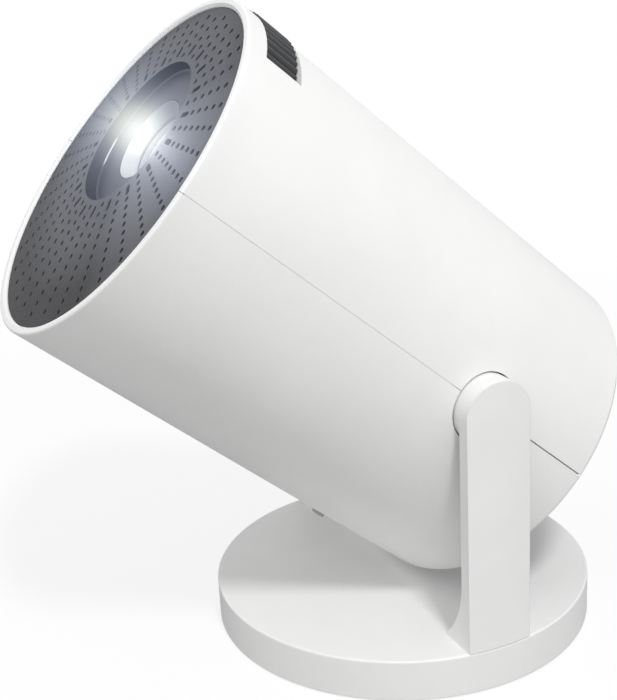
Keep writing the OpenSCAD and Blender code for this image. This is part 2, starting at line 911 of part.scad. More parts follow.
module light_housing() {
    inner_w = housing_w - 2 * housing_wall;
    inner_h = housing_h - 2 * housing_wall;
    len = housing_end_z - housing_z;
    color(black) in_head() difference() {
        union() {
            translate([0, lens_up, 0]) difference() {
                block(housing_w, housing_h, housing_z, len);
                block(inner_w, inner_h, housing_z + housing_wall, len - 2 * housing_wall);
            }
            translate([0, lens_up, 0]) at_corners(sink_screw_x, sink_screw_y) {
                translate([0, 0, sink_front_z]) cylinder(r = post_r, h = housing_z - sink_front_z + 0.5);
            }
            both_sides() for (z = lug_z) translate([housing_w / 2 - 0.5, lug_y, z - 4]) {
                cube([9.5, lug_t, 8]);
            }
        }
        translate([0, lens_up, housing_z - thru]) {
            cylinder(r = condenser_r + 0.1, h = 2 * thru + housing_wall);
        }
        translate([0, lens_up, housing_end_z - housing_wall - thru]) {
            cylinder(r = barrel_r + run_gap, h = 2 * thru + housing_wall);
        }
        translate([0, lens_up, sink_front_z - thru]) at_corners(sink_screw_x, sink_screw_y) {
            cylinder(r = pilot_r, h = 7, $fn = 32);
        }
        translate([0, lens_up, housing_end_z - housing_wall - thru]) for (a = [45:90:315]) {
            rotate([0, 0, a]) translate([mount_screw_at, 0, 0]) cylinder(r = pilot_r, h = 9, $fn = 32);
        }
        both_sides() for (z = lug_z) translate([lug_x, lug_y - thru, z]) {
            rotate([-90, 0, 0]) cylinder(r = free_r, h = lug_t + 2 * thru, $fn = 32);
        }
    }
}

// A flat pane that fills the housing's inside, z forward of its back
module pane(forward, t) {
    fit_w = housing_w - 2 * (housing_wall + panel_gap);
    fit_h = housing_h - 2 * (housing_wall + panel_gap);
    in_head() translate([0, lens_up, 0]) block(fit_w, fit_h, housing_z + forward, t);
}

module rear_fresnel() {
    color(clear) pane(condenser_top + pane_step, fresnel_t);
}

module lcd_panel() {
    color([0.2, 0.22, 0.3]) pane(condenser_top + 2 * pane_step, panel_t);
}

module front_fresnel() {
    color(clear) pane(condenser_top + 3 * pane_step, fresnel_t);
}

module condenser_lens() {
    color(clear) in_head() translate([0, lens_up, housing_z + 0.1]) {
        dome_lens(condenser_r, condenser_rim, condenser_bulge);
    }
}

module led_board() {
    color(white) in_head() translate([0, lens_up, 0]) block(led_side, led_side, sink_front_z, board_t);
}

module led_emitter() {
    color([0.95, 0.85, 0.3]) in_head() translate([0, lens_up, 0]) {
        block(10, 10, sink_front_z + board_t, emitter_t);
    }
}

module heat_sink() {
    spacing = (sink_w - fin_t) / (fin_count - 1);
    color(steel) in_head() translate([0, lens_up, 0]) difference() {
        union() {
            block(sink_w, sink_h, sink_z + fin_len, sink_base_t);
            for (i = [0:fin_count - 1]) translate([i * spacing - (sink_w - fin_t) / 2, 0, 0]) {
                block(fin_t, sink_h, sink_z, fin_len + 0.5);
            }
        }
        at_corners(sink_screw_x, sink_screw_y) translate([0, 0, sink_z - thru]) {
            cylinder(r = sunk_head_r, h = fin_len + thru, $fn = 32);
            cylinder(r = free_r, h = 40, $fn = 32);
        }
    }
}

module sink_screws() {
    color(steel) in_head() translate([0, lens_up, sink_front_z - sink_base_t]) {
        at_corners(sink_screw_x, sink_screw_y) screw(sink_base_t + 5.5);
    }
}

// --- fan ---

module fan_frame() {
    color(black) in_head() translate([0, lens_up, 0]) difference() {
        union() {
            difference() {
                block(fan_side, fan_side, fan_z, fan_t);
                translate([0, 0, fan_z - thru]) cylinder(r = fan_r, h = fan_t + 2 * thru);
            }
            translate([0, 0, fan_z]) cylinder(r = 10, h = 2);
            for (a = [0:90:270]) rotate([0, 0, a]) translate([8, -1.5, fan_z]) cube([fan_r - 7, 3, 2]);
        }
        translate([0, 0, fan_z - thru]) cylinder(r = 1.5 + run_gap, h = 2 + 2 * thru, $fn = 48);
        at_corners(fan_hole_at, fan_hole_at) {
            translate([0, 0, fan_z - thru]) cylinder(r = free_r, h = fan_t + 2 * thru, $fn = 32);
        }
    }
}

module fan_rotor() {
    hub = 11;
    blade_w = fan_r - hub;
    color(dark) in_head() translate([0, lens_up, fan_z]) {
        translate([0, 0, 0.1]) cylinder(r = 1.5, h = 3, $fn = 48);
        translate([0, 0, 2.5]) cylinder(r = hub, h = fan_t - 3.2);
        for (i = [0:blade_count - 1]) rotate([0, 0, i * 360 / blade_count]) {
            translate([hub - 0.7, 0, 2.3 + (fan_t - 3) / 2]) rotate([38, 0, 0]) {
                translate([0, -(fan_t - 4) / 2, -0.5]) cube([blade_w, fan_t - 4, 1]);
            }
        }
    }
}

module fan_screws() {
    color(steel) in_head() translate([0, lens_up, fan_front_z]) mirror([0, 0, 1]) {
        at_corners(fan_hole_at, fan_hole_at) screw(fan_t + fan_stand - 0.5);
    }
}

// --- boards, sound and sockets ---

module main_board() {
    color(board_green) in_head() difference() {
        translate([-board_w / 2, board_y - board_t, board_z]) cube([board_w, board_t, board_len]);
        for (sx = [-1, 1]) for (z = post_z) translate([sx * post_x, board_y - board_t - thru, z]) {
            rotate([-90, 0, 0]) cylinder(r = free_r, h = board_t + 2 * thru, $fn = 32);
        }
    }
}

module board_chips() {
    color(black) in_head() translate([0, board_y, board_z]) {
        chip(0, 0.58, 0.28, 0.24, 1.4);
        chip(-0.28, 0.58, 0.17, 0.12, 0.9);
        chip(0.28, 0.58, 0.17, 0.12, 0.9);
        chip(-0.25, 0.8, 0.19, 0.08, 1.1);
        chip(0.18, 0.82, 0.11, 0.1, 1.6);
    }
}

// Place and size as shares of the board's width and length, height in board thicknesses
module chip(x, z, w, len, h) {
    translate([(x - w / 2) * board_w, 0, (z - len / 2) * board_len]) {
        cube([w * board_w, h * board_t, len * board_len]);
    }
}

module board_screws() {
    color(steel) in_head() {
        for (sx = [-1, 1]) for (z = post_z) translate([sx * post_x, board_y, z]) {
            rotate([90, 0, 0]) screw(board_t + board_screw_len);
        }
        for (sx = [-1, 1]) for (z = lug_z) translate([sx * lug_x, lug_y + lug_t, z]) {
            rotate([90, 0, 0]) screw(lug_t + board_screw_len);
        }
    }
}

module speaker_frame() {
    color(dark) in_head() translate([0, speaker_y, speaker_front_z]) {
        difference() {
            translate([0, 0, -speaker_t]) cylinder(r = speaker_r, h = speaker_t);
            translate([0, 0, -cone_deep]) cylinder(r = speaker_r - 1.5, h = cone_deep + thru);
            ring(speaker_r + thru, magnet_r, -speaker_t - thru, cone_deep + thru);
        }
    }
}

module speaker_cone() {
    color(black) in_head() translate([0, speaker_y, speaker_front_z]) rotate_extrude() polygon([
        [0, -5.9],
        [speaker_r - 11, -5.9],
        [speaker_r - 1.6, -1.5],
        [speaker_r - 1.6, -0.8],
        [speaker_r - 4, -0.8],
        [speaker_r - 11, -4.6],
        [0, -4.6]
    ]);
}

// A metal-skinned socket with a tongue inside, given by its place, width and height
module flat_socket(at, tongue) {
    len = board_z + socket_len - socket_out_z;
    in_head() translate([at[0], board_y - board_t - at[2] / 2, 0]) {
        difference() {
            block(at[1], at[2], socket_out_z, len);
            block(at[1] - 2 * socket_wall, at[2] - 2 * socket_wall, socket_out_z - thru, len - 2 + thru);
        }
        block(at[1] - 4, tongue, socket_out_z + 1.5, len - 3);
    }
}

// A square block with a round mouth of radius r, and a pin in it where inner_pin is above zero
module round_socket(at, r, inner_pin) {
    len = board_z + socket_len - socket_out_z;
    in_head() translate([at[0], board_y - board_t - at[2] / 2, 0]) {
        difference() {
            block(at[1], at[2], socket_out_z, len);
            translate([0, 0, socket_out_z - thru]) cylinder(r = r, h = len - 2 + thru, $fn = 48);
        }
        if (inner_pin > 0) {
            translate([0, 0, socket_out_z + 1]) cylinder(r = inner_pin, h = len - 2, $fn = 32);
        }
    }
}

module usb_socket() {
    color(steel) flat_socket(usb_at, 1.8);
}

module video_socket() {
    color(steel) flat_socket(video_at, 1);
}

module audio_socket() {
    color(black) round_socket(audio_at, 1.8, 0);
}

module power_socket() {
    color(black) round_socket(power_at, 2.9, 0.8);
}

// --- back cover and button ---

module rear_cover() {
    color(dark) in_head() difference() {
        union() {
            translate([0, 0, cover_out_z]) cylinder(r = cover_r, h = cover_t, $fn = 192);
            translate([0, lens_up, cover_in_z - 0.5]) at_corners(fan_hole_at, fan_hole_at) {
                cylinder(r = post_r, h = fan_stand + 0.5, $fn = 48);
            }
            for (s = [-1, 1]) translate([s * button_post_x, button_y, cover_in_z - 0.5]) {
                cylinder(r = 1.5, h = button_board_z - cover_in_z + 0.5, $fn = 32);
            }
        }
        translate([0, lens_up, cover_out_z - thru]) linear_extrude(cover_t + 2 * thru) vent_pattern();
        translate([0, lens_up, fan_z]) at_corners(fan_hole_at, fan_hole_at) {
            translate([0, 0, -fan_stand - 0.5]) cylinder(r = pilot_r, h = fan_stand + thru, $fn = 32);
        }
        for (a = [45:90:315]) rotate([0, 0, a]) translate([cover_screw_at, 0, cover_out_z - thru]) {
            cylinder(r = free_r, h = cover_t + 2 * thru, $fn = 32);
            cylinder(r = sunk_head_r, h = cover_screw_sink + thru, $fn = 32);
        }
        for (at = [usb_at, video_at, audio_at, power_at]) socket_cut(at);
        translate([0, button_y, cover_out_z - thru]) cylinder(r = button_r + 0.15, h = 9);
        translate([0, button_y, cover_out_z - thru]) {
            translate([-window_x, 0, 0]) cylinder(r = window_r + glass_fit, h = 9, $fn = 48);
            translate([window_x, 0, 0]) cylinder(r = light_r + glass_fit, h = 9, $fn = 48);
        }
    }
}

// Rows of vent holes in front of the fan
module vent_pattern() {
    for (row = [1:6]) for (k = [0:19]) rotate(k * 18 + (row % 2) * 9) {
        translate([2 + row * 3.6, 0]) circle(r = 0.45 + row * 0.15, $fn = 24);
    }
}

module socket_cut(at) {
    translate([at[0], board_y - board_t - at[2] / 2, 0]) {
        block(at[1] + 2 * touch, at[2] + 2 * touch, cover_out_z - thru, cover_t + 2 * thru);
    }
}

module cover_screws() {
    color(steel) in_head() for (a = [45:90:315]) rotate([0, 0, a]) {
        translate([cover_screw_at, 0, cover_out_z + cover_screw_sink]) {
            screw(cover_t - cover_screw_sink + 7);
        }
    }
}

module power_button() {
    color(steel) in_head() translate([0, button_y, 0]) {
        translate([0, 0, cover_out_z - button_proud]) {
            cylinder(r = button_r, h = cover_t + button_proud + 0.6);
        }
        translate([0, 0, cover_in_z + 0.1]) cylinder(r = button_r + 0.8, h = 0.5);
        translate([0, 0, cover_in_z]) cylinder(r = 1.5, h = 1.4, $fn = 32);
    }
}

module button_switch() {
    color(board_green) in_head() translate([0, button_y, 0]) {
        block(switch_board_w, switch_board_h, button_board_z, board_t);
        translate([0, 0, cover_in_z + 1.5 + button_travel]) {
            cylinder(r = 1.7, h = button_board_z - cover_in_z - 1.5 - button_travel + 0.5, $fn = 32);
        }
    }
}

module remote_window() {
    color([0.25, 0.02, 0.03]) in_head() translate([-window_x, button_y, cover_out_z + 0.1]) {
        cylinder(r = window_r, h = cover_t + 1, $fn = 48);
    }
}

module status_light() {
    color([0.2, 0.5, 0.9]) in_head() translate([window_x, button_y, cover_out_z + 0.1]) {
        cylinder(r = light_r, h = cover_t + 1, $fn = 48);
    }
}

base_cover();
base_weight();
base_plate();
rubber_foot();
tripod_insert();
base_screws();
right_arm();
left_arm();
arm_screws();
right_hinge_pin();
left_hinge_pin();
right_spring_washer();
left_spring_washer();
upper_shell();
lower_shell();
under_bumper();
right_hinge_bracket();
left_hinge_bracket();
bracket_screws();
front_grille();
lens_cup();
lens_mount();
mount_screws();
retaining_ring();
light_housing();
front_fresnel();
lcd_panel();
rear_fresnel();
condenser_lens();
led_board();
led_emitter();
heat_sink();
sink_screws();
fan_frame();
fan_screws();
main_board();
board_chips();
board_screws();
speaker_frame();
speaker_cone();
rear_cover();
cover_screws();
power_socket();
video_socket();
usb_socket();
audio_socket();
button_switch();
remote_window();
status_light();
focus_wheel();
lens_barrel();
lens_bezel();
front_lens();
middle_lens();
rear_lens();
guide_pins();
fan_rotor();
power_button();
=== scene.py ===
# Studio picture of a round tabletop projector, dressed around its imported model.
# Metres, +Z up, the origin on the table under the base. The lens looks towards -Y and up.
import json
import math

import bmesh
import bpy
from mathutils import Matrix, Vector


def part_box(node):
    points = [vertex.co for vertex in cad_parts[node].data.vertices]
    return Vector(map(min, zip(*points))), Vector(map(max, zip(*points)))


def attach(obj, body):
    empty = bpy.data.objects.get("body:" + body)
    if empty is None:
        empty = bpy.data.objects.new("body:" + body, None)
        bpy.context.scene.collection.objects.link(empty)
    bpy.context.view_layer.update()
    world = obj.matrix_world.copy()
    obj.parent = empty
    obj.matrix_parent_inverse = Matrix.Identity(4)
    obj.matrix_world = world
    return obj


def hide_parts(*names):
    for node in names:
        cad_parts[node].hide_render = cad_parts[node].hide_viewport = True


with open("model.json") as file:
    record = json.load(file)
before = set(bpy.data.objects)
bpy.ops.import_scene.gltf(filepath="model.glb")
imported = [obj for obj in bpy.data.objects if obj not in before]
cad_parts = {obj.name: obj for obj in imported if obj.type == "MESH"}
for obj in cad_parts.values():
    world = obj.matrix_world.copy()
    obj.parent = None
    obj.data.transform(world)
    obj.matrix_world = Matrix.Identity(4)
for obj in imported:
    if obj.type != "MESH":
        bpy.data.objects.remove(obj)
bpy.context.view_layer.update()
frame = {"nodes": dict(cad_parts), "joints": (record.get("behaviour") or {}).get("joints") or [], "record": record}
nodes = frame["nodes"]
joints = {j["name"]: j for j in frame["joints"]}
mm = 0.001
print("loaded", len(nodes), "nodes")


# the camera stands where the photograph was taken from, given round the point that it looks at
cameraView = {
    "azimuth": 66.32,      # degrees round the object, 0 looks along +Y
    "elevation": 18.37,
    "roll": -3.22,
    "distance": 400.07 * mm,
    "target": (-34.14 * mm, -13.49 * mm, 78.12 * mm),
    "lens": 62.47,         # focal length and film width, in millimetres as Blender takes them
    "sensor": 36.0,
    "near": 0.01,          # nearest and farthest that it sees
    "far": 20,
}


def makeCamera(v):
    a = math.radians(v["azimuth"])
    e = math.radians(v["elevation"])
    r = math.radians(v["roll"])
    back = Vector((math.sin(a) * math.cos(e), -math.cos(a) * math.cos(e), math.sin(e)))
    level = Vector((0, 0, 1)).cross(back).normalized()
    lift = back.cross(level)
    right = level * math.cos(r) + lift * math.sin(r)
    up = lift * math.cos(r) - level * math.sin(r)
    data = bpy.data.cameras.new("photoCamera")
    data.lens = v["lens"]
    data.sensor_width = v["sensor"]
    data.clip_start = v["near"]
    data.clip_end = v["far"]
    cam = bpy.data.objects.new("photoCamera", data)
    place = Vector(v["target"]) + back * v["distance"]
    turn = Matrix((right, up, back)).transposed().to_4x4()
    cam.matrix_world = Matrix.Translation(place) @ turn
    bpy.context.scene.collection.objects.link(cam)
    bpy.context.scene.camera = cam


makeCamera(cameraView)
print("camera ready")


# helpers for material nodes: objectNoise, spread, twoColours and calc give back the socket of their result
noiseLow = 0.3      # most of a noise lies between these two
noiseHigh = 0.7
white = (1, 1, 1, 1)


def opaque(colour):
    return (*colour, 1)


def newMaterial(name):
    mat = bpy.data.materials.new(name)
    mat.use_nodes = True
    tree = mat.node_tree
    shader = tree.nodes["Principled BSDF"]
    return mat, tree, shader


# inputs are named with _ for a space
def setInputs(node, **values):
    for key, value in values.items():
        node.inputs[key.replace("_", " ")].default_value = value


# values are settings of the node, or else its inputs
def addNode(tree, kind, **values):
    node = tree.nodes.new(kind)
    for key, value in values.items():
        if hasattr(node, key):
            setattr(node, key, value)
        else:
            setInputs(node, **{key: value})
    return node


def objectNoise(tree, scale, detail, rough, stretch=(1, 1, 1)):
    coords = addNode(tree, "ShaderNodeTexCoord")
    place = addNode(tree, "ShaderNodeMapping", Scale=stretch)
    noise = addNode(tree, "ShaderNodeTexNoise", Scale=scale, Detail=detail, Roughness=rough)
    tree.links.new(coords.outputs["Object"], place.inputs["Vector"])
    tree.links.new(place.outputs["Vector"], noise.inputs["Vector"])
    return noise.outputs["Fac"]


def spread(tree, source, low, high, fromLow=noiseLow, fromHigh=noiseHigh):
    node = addNode(tree, "ShaderNodeMapRange", From_Min=fromLow, From_Max=fromHigh, To_Min=low, To_Max=high)
    tree.links.new(source, node.inputs["Value"])
    return node.outputs["Result"]


def twoColours(tree, source, dark, light, low=noiseLow, high=noiseHigh):
    ramp = addNode(tree, "ShaderNodeValToRGB")
    for end, place, colour in zip(ramp.color_ramp.elements, (low, high), (dark, light)):
        end.position = place
        end.color = opaque(colour)
    tree.links.new(source, ramp.inputs["Fac"])
    return ramp.outputs["Color"]


# one sum, on sockets or plain numbers
def calc(tree, operation, *sources):
    node = addNode(tree, "ShaderNodeMath", operation=operation)
    for i, source in enumerate(sources):
        if isinstance(source, (int, float)):
            node.inputs[i].default_value = source
        else:
            tree.links.new(source, node.inputs[i])
    return node.outputs[0]


# the same on vectors
def calcVector(tree, operation, *sources):
    node = addNode(tree, "ShaderNodeVectorMath", operation=operation)
    for i, source in enumerate(sources):
        if isinstance(source, Vector):
            node.inputs[i].default_value = source
        else:
            tree.links.new(source, node.inputs[i])
    return node.outputs["Vector" if operation == "SUBTRACT" else "Value"]


# what a finish has unless it says otherwise; edge is the radius that sharp edges are rounded by
plainFinish = {
    "driftDetail": 4,
    "driftRough": 0.6,
    "grainDetail": 2,
    "grainRough": 0.5,
    "stretch": (1, 1, 1),
    "metal": 0.0,
    "ior": 1.46,
    "coat": 0.0,
    "coatRoughness": 0.15,
    "edge": 0.0,
    "edgeSamples": 6,
}


# moulded plastic, rubber, metal: colour drifts a little, roughness is uneven and the skin has grain
def madeSurface(name, finish):
    f = {**plainFinish, **finish}
    mat, tree, shader = newMaterial(name)
    drift = objectNoise(tree, f["driftScale"], f["driftDetail"], f["driftRough"], f["stretch"])
    grain = objectNoise(tree, f["grainScale"], f["grainDetail"], f["grainRough"], f["stretch"])
    colour = twoColours(tree, drift, f["dark"], f["light"])
    tree.links.new(colour, shader.inputs["Base Color"])
    tree.links.new(spread(tree, grain, f["smooth"], f["rough"]), shader.inputs["Roughness"])
    bump = addNode(tree, "ShaderNodeBump", Strength=1.0, Distance=f["grainDepth"])
    tree.links.new(grain, bump.inputs["Height"])
    tree.links.new(bump.outputs["Normal"], shader.inputs["Normal"])
    if f["edge"] > 0:
        bevel = addNode(tree, "ShaderNodeBevel", samples=f["edgeSamples"], Radius=f["edge"])
        tree.links.new(bevel.outputs["Normal"], bump.inputs["Normal"])
    setInputs(shader, Metallic=f["metal"], IOR=f["ior"], Coat_Weight=f["coat"],
              Coat_Roughness=f["coatRoughness"])
    return mat, tree, shader, colour


# colour goes between dark and light, roughness between smooth and rough; the noise scales are per metre
finishes = {
    "shellWhite": dict(dark=(0.80, 0.80, 0.795), light=(0.845, 0.845, 0.84), driftScale=22,
                       grainScale=1900, grainDepth=0.03 * mm, smooth=0.42, rough=0.55, edge=0.3 * mm),
    "grilleGrey": dict(dark=(0.030, 0.030, 0.034), light=(0.040, 0.040, 0.045), driftScale=40,
                       grainScale=2600, grainDepth=0.04 * mm, smooth=0.36, rough=0.5, edge=0.25 * mm),
    "bumperGrey": dict(dark=(0.36, 0.36, 0.36), light=(0.44, 0.44, 0.44), driftScale=60,
                       grainScale=1500, grainDepth=0.04 * mm, smooth=0.6, rough=0.8),
    "wheelGrey": dict(dark=(0.018, 0.020, 0.022), light=(0.032, 0.034, 0.037), driftScale=60,
                      grainScale=2600, grainDepth=0.03 * mm, smooth=0.42, rough=0.6, edge=0.6 * mm),
    "innerBlack": dict(dark=(0.012, 0.012, 0.013), light=(0.022, 0.022, 0.023), driftScale=50,
                       grainScale=2000, grainDepth=0.03 * mm, smooth=0.4, rough=0.6),
    "footRubber": dict(dark=(0.014, 0.014, 0.014), light=(0.028, 0.028, 0.028), driftScale=80,
                       grainScale=1500, grainDepth=0.08 * mm, smooth=0.75, rough=0.92),
    "zincSteel": dict(dark=(0.50, 0.51, 0.53), light=(0.66, 0.67, 0.68), driftScale=90,
                      grainScale=1500, grainDepth=0.01 * mm, smooth=0.22, rough=0.36, metal=1.0,
                      stretch=(1, 1, 6)),
    "springBronze": dict(dark=(0.42, 0.28, 0.12), light=(0.56, 0.38, 0.18), driftScale=90,
                         grainScale=1500, grainDepth=0.01 * mm, smooth=0.25, rough=0.4, metal=1.0),
    "turnedBrass": dict(dark=(0.62, 0.44, 0.17), light=(0.74, 0.54, 0.24), driftScale=90,
                        grainScale=1200, grainDepth=0.01 * mm, smooth=0.2, rough=0.34, metal=1.0),
    "finAluminium": dict(dark=(0.62, 0.63, 0.65), light=(0.75, 0.76, 0.77), driftScale=60,
                         grainScale=1800, grainDepth=0.01 * mm, smooth=0.28, rough=0.42, metal=1.0),
    "boardGreen": dict(dark=(0.008, 0.075, 0.032), light=(0.018, 0.12, 0.05), driftScale=180,
                       grainScale=900, grainDepth=0.02 * mm, smooth=0.2, rough=0.34, coat=0.4),
    "sheetClear": dict(dark=(0.62, 0.66, 0.70), light=(0.74, 0.77, 0.80), driftScale=40,
                       grainScale=1800, grainDepth=0.04 * mm, smooth=0.08, rough=0.2),
    "panelDark": dict(dark=(0.012, 0.015, 0.03), light=(0.03, 0.035, 0.06), driftScale=40,
                      grainScale=1800, grainDepth=0.01 * mm, smooth=0.05, rough=0.12),
    "windowRed": dict(dark=(0.030, 0.002, 0.004), light=(0.055, 0.004, 0.008), driftScale=70,
                      grainScale=1500, grainDepth=0.01 * mm, smooth=0.06, rough=0.14, coat=0.6),
    "lightBlue": dict(dark=(0.10, 0.26, 0.62), light=(0.16, 0.36, 0.78), driftScale=120,
                      grainScale=1500, grainDepth=0.01 * mm, smooth=0.1, rough=0.2),
    "phosphorYellow": dict(dark=(0.75, 0.55, 0.06), light=(0.86, 0.68, 0.12), driftScale=300,
                           grainScale=2500, grainDepth=0.03 * mm, smooth=0.4, rough=0.6),
}
mats = {name: madeSurface(name, finish)[0] for name, finish in finishes.items()}

# the finish for each material slot of the record
bySlot = {
    "white_plastic": "shellWhite",
    "dark_plastic": "grilleGrey",
    "black_plastic": "innerBlack",
    "rubber": "footRubber",
    "steel": "zincSteel",
    "spring_bronze": "springBronze",
    "brass": "turnedBrass",
    "aluminium": "finAluminium",
    "lens_glass": "sheetClear",
    "clear_plastic": "sheetClear",
    "panel_glass": "panelDark",
    "phosphor": "phosphorYellow",
    "circuit_board": "boardGreen",
    "red_window": "windowRed",
    "blue_light": "lightBlue",
}


def dress(obj, mat):
    obj.data.materials.clear()
    obj.data.materials.append(mat)


for sub in frame["record"]["subparts"]:
    dress(nodes[sub["node"]], mats[bySlot[sub["material_slot"]]])
dress(nodes["focus_wheel"], mats["wheelGrey"])
dress(nodes["under_bumper"], mats["bumperGrey"])
print("materials on", len(nodes), "nodes")


# the head's own axes start on the hinge line: X across, Y to its top, Z out of the lens
hinge = Vector(joints["head_tilt"]["pos_m"])
forward = Vector(joints["focus_turn"]["axis"]).normalized()
upward = forward.cross(Vector((1, 0, 0)))
headAxes = Matrix.Translation(hinge) @ Matrix(((1, 0, 0), upward, forward)).transposed().to_4x4()
toHead = headAxes.inverted()
lensUp = (toHead @ Vector(joints["focus_turn"]["pos_m"])).y      # height of the lens line over the hinge


def headPoints(node):
    return [toHead @ v.co for v in nodes[node].data.vertices]


def headBox(node):
    points = headPoints(node)
    low = Vector([min(p[i] for p in points) for i in range(3)])
    high = Vector([max(p[i] for p in points) for i in range(3)])
    return low, high


sharpAngle = 35      # degrees: a mesh stays sharp where it bends more than this


def makePiece(name, bm, place, body, mat):
    bmesh.ops.recalc_face_normals(bm, faces=bm.faces)
    mesh = bpy.data.meshes.new(name)
    bm.to_mesh(mesh)
    bm.free()
    mesh.transform(place)
    for face in mesh.polygons:
        face.use_smooth = True
    mesh.set_sharp_from_angle(angle=math.radians(sharpAngle))
    obj = bpy.data.objects.new(name, mesh)
    bpy.context.scene.collection.objects.link(obj)
    dress(obj, mat)
    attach(obj, body)
    return obj


def addLoop(bm, radius, z, count):
    turn = 2 * math.pi / count
    return [bm.verts.new((radius * math.cos(i * turn), radius * math.sin(i * turn), z))
            for i in range(count)]


def pairsAround(loop):
    return zip(loop, loop[1:] + loop[:1])


def joinLoops(bm, first, second):
    for (a, b), (d, c) in zip(pairsAround(first), pairsAround(second)):
        bm.faces.new((a, b, c, d))


def addBlock(bm, low, high):
    cell = bmesh.ops.create_cube(bm, size=1.0)
    middle = [(a + b) / 2 for a, b in zip(low, high)]
    size = [b - a for a, b in zip(low, high)]
    bmesh.ops.scale(bm, vec=size, verts=cell["verts"])
    bmesh.ops.translate(bm, vec=middle, verts=cell["verts"])


# screws with a cross in the head stand for the plain ones that show
screwLook = {
    "headRadius": 2.8 * mm,
    "headHeight": 1.1 * mm,
    "flat": 0.72,               # shares of the head's radius: edge of its flat top, then its shoulder
    "shoulder": 0.93,
    "shoulderDrop": 0.22 * mm,  # how far the shoulder and the rim lie under the top
    "rimDrop": 0.5 * mm,
    "shankRadius": 1.4 * mm,
    "crossReach": 1.5 * mm,     # from the middle to an end of the cross
    "crossWidth": 0.62 * mm,
    "crossDepth": 0.75 * mm,
    "crossTaper": 0.8,          # size of its floor against its mouth
    "sides": 32,
}


def crossOutline(reach, half):
    corners = []
    arm = [(reach, -half), (reach, half), (half, half)]
    for quarter in range(4):
        corners += arm
        arm = [(-y, x) for x, y in arm]
    return corners


# the head lies below z = 0 and points down, and the shank goes up from there
def addScrew(bm, s, shankLength):
    top = -s["headHeight"]
    rings = ((s["headRadius"] * s["flat"], top),
             (s["headRadius"] * s["shoulder"], top + s["shoulderDrop"]),
             (s["headRadius"], top + s["rimDrop"]),
             (s["headRadius"], 0),
             (s["shankRadius"], 0),
             (s["shankRadius"], shankLength))
    loops = [addLoop(bm, radius, z, s["sides"]) for radius, z in rings]
    for first, second in zip(loops, loops[1:]):
        joinLoops(bm, first, second)
    bm.faces.new(loops[-1])
    taper = s["crossTaper"]
    corners = crossOutline(s["crossReach"], s["crossWidth"] / 2)
    mouth = [bm.verts.new((x, y, top)) for x, y in corners]
    floor = [bm.verts.new((x * taper, y * taper, top + s["crossDepth"])) for x, y in corners]
    edges = [bm.edges.new(pair) for pair in pairsAround(mouth)]
    edges += [bm.edges.get(pair) for pair in pairsAround(loops[0])]
    bmesh.ops.triangle_fill(bm, edges=edges, use_beauty=True)
    joinLoops(bm, mouth, floor)
    bm.faces.new(floor)


# four screws, one in each corner of the box of the plain ones
def makeScrews(name, box, axes, body):
    low, high = box
    reach = high.x - screwLook["headRadius"]
    seat = low.z + screwLook["headHeight"]
    whole = bmesh.new()
    for x, y in ((reach, reach), (-reach, reach), (-reach, -reach), (reach, -reach)):
        bm = bmesh.new()
        addScrew(bm, screwLook, high.z - seat)
        bm.transform(axes @ Matrix.Translation((x, y, seat)))
        scratch = bpy.data.meshes.new("scratch")
        bm.to_mesh(scratch)
        bm.free()
        whole.from_mesh(scratch)
        bpy.data.meshes.remove(scratch)
    return makePiece(name, whole, Matrix.Identity(4), body, mats["zincSteel"])


screws = makeScrews("baseScrewHeads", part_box("base_screws"), Matrix.Identity(4), "stand")
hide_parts("base_screws")
screws = makeScrews("coverScrewHeads", headBox("cover_screws"), headAxes, "head")
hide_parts("cover_screws")
print("screws made")


# contacts lie on top of the tongues in the sockets
padLook = {
    "sunk": 0.02 * mm,      # how far they go into the tongue and stand out of it
    "proud": 0.09 * mm,
    "start": 1.9 * mm,      # their two ends, both from the mouth of the socket
    "end": 8 * mm,
}
contacts = {
    "usbPads": {
        "node": "usb_socket",
        "tongue": 1.8 * mm,     # how thick the tongue is
        "count": 4,
        "pitch": 2.3 * mm,
        "width": 1.1 * mm,
    },
    "videoPads": {
        "node": "video_socket",
        "tongue": 1.0 * mm,
        "count": 9,
        "pitch": 1.05 * mm,
        "width": 0.45 * mm,
    },
}


def makeContacts(name, c, pad):
    low, high = headBox(c["node"])
    middle = (low + high) / 2
    half = c["width"] / 2
    top = middle.y + c["tongue"] / 2
    bm = bmesh.new()
    for i in range(c["count"]):
        x = middle.x + (i - (c["count"] - 1) / 2) * c["pitch"]
        addBlock(bm, (x - half, top - pad["sunk"], low.z + pad["start"]),
                 (x + half, top + pad["proud"], low.z + pad["end"]))
    makePiece(name, bm, headAxes, "head", mats["turnedBrass"])


for contactName, contact in contacts.items():
    makeContacts(contactName, contact, padLook)

threadLook = {
    "pitch": 1.27 * mm,
    "height": 0.45 * mm,
    "root": 0.88,           # width of the ridge at its foot and at its crest, against the pitch
    "crest": 0.132,
    "sunk": 0.02 * mm,      # its foot goes this far into the wall
    "turns": 6,
    "steps": 36,            # in a turn
    "runIn": 0.25,          # turns over which it rises from nothing at each end
    "start": 0.5 * mm,
}


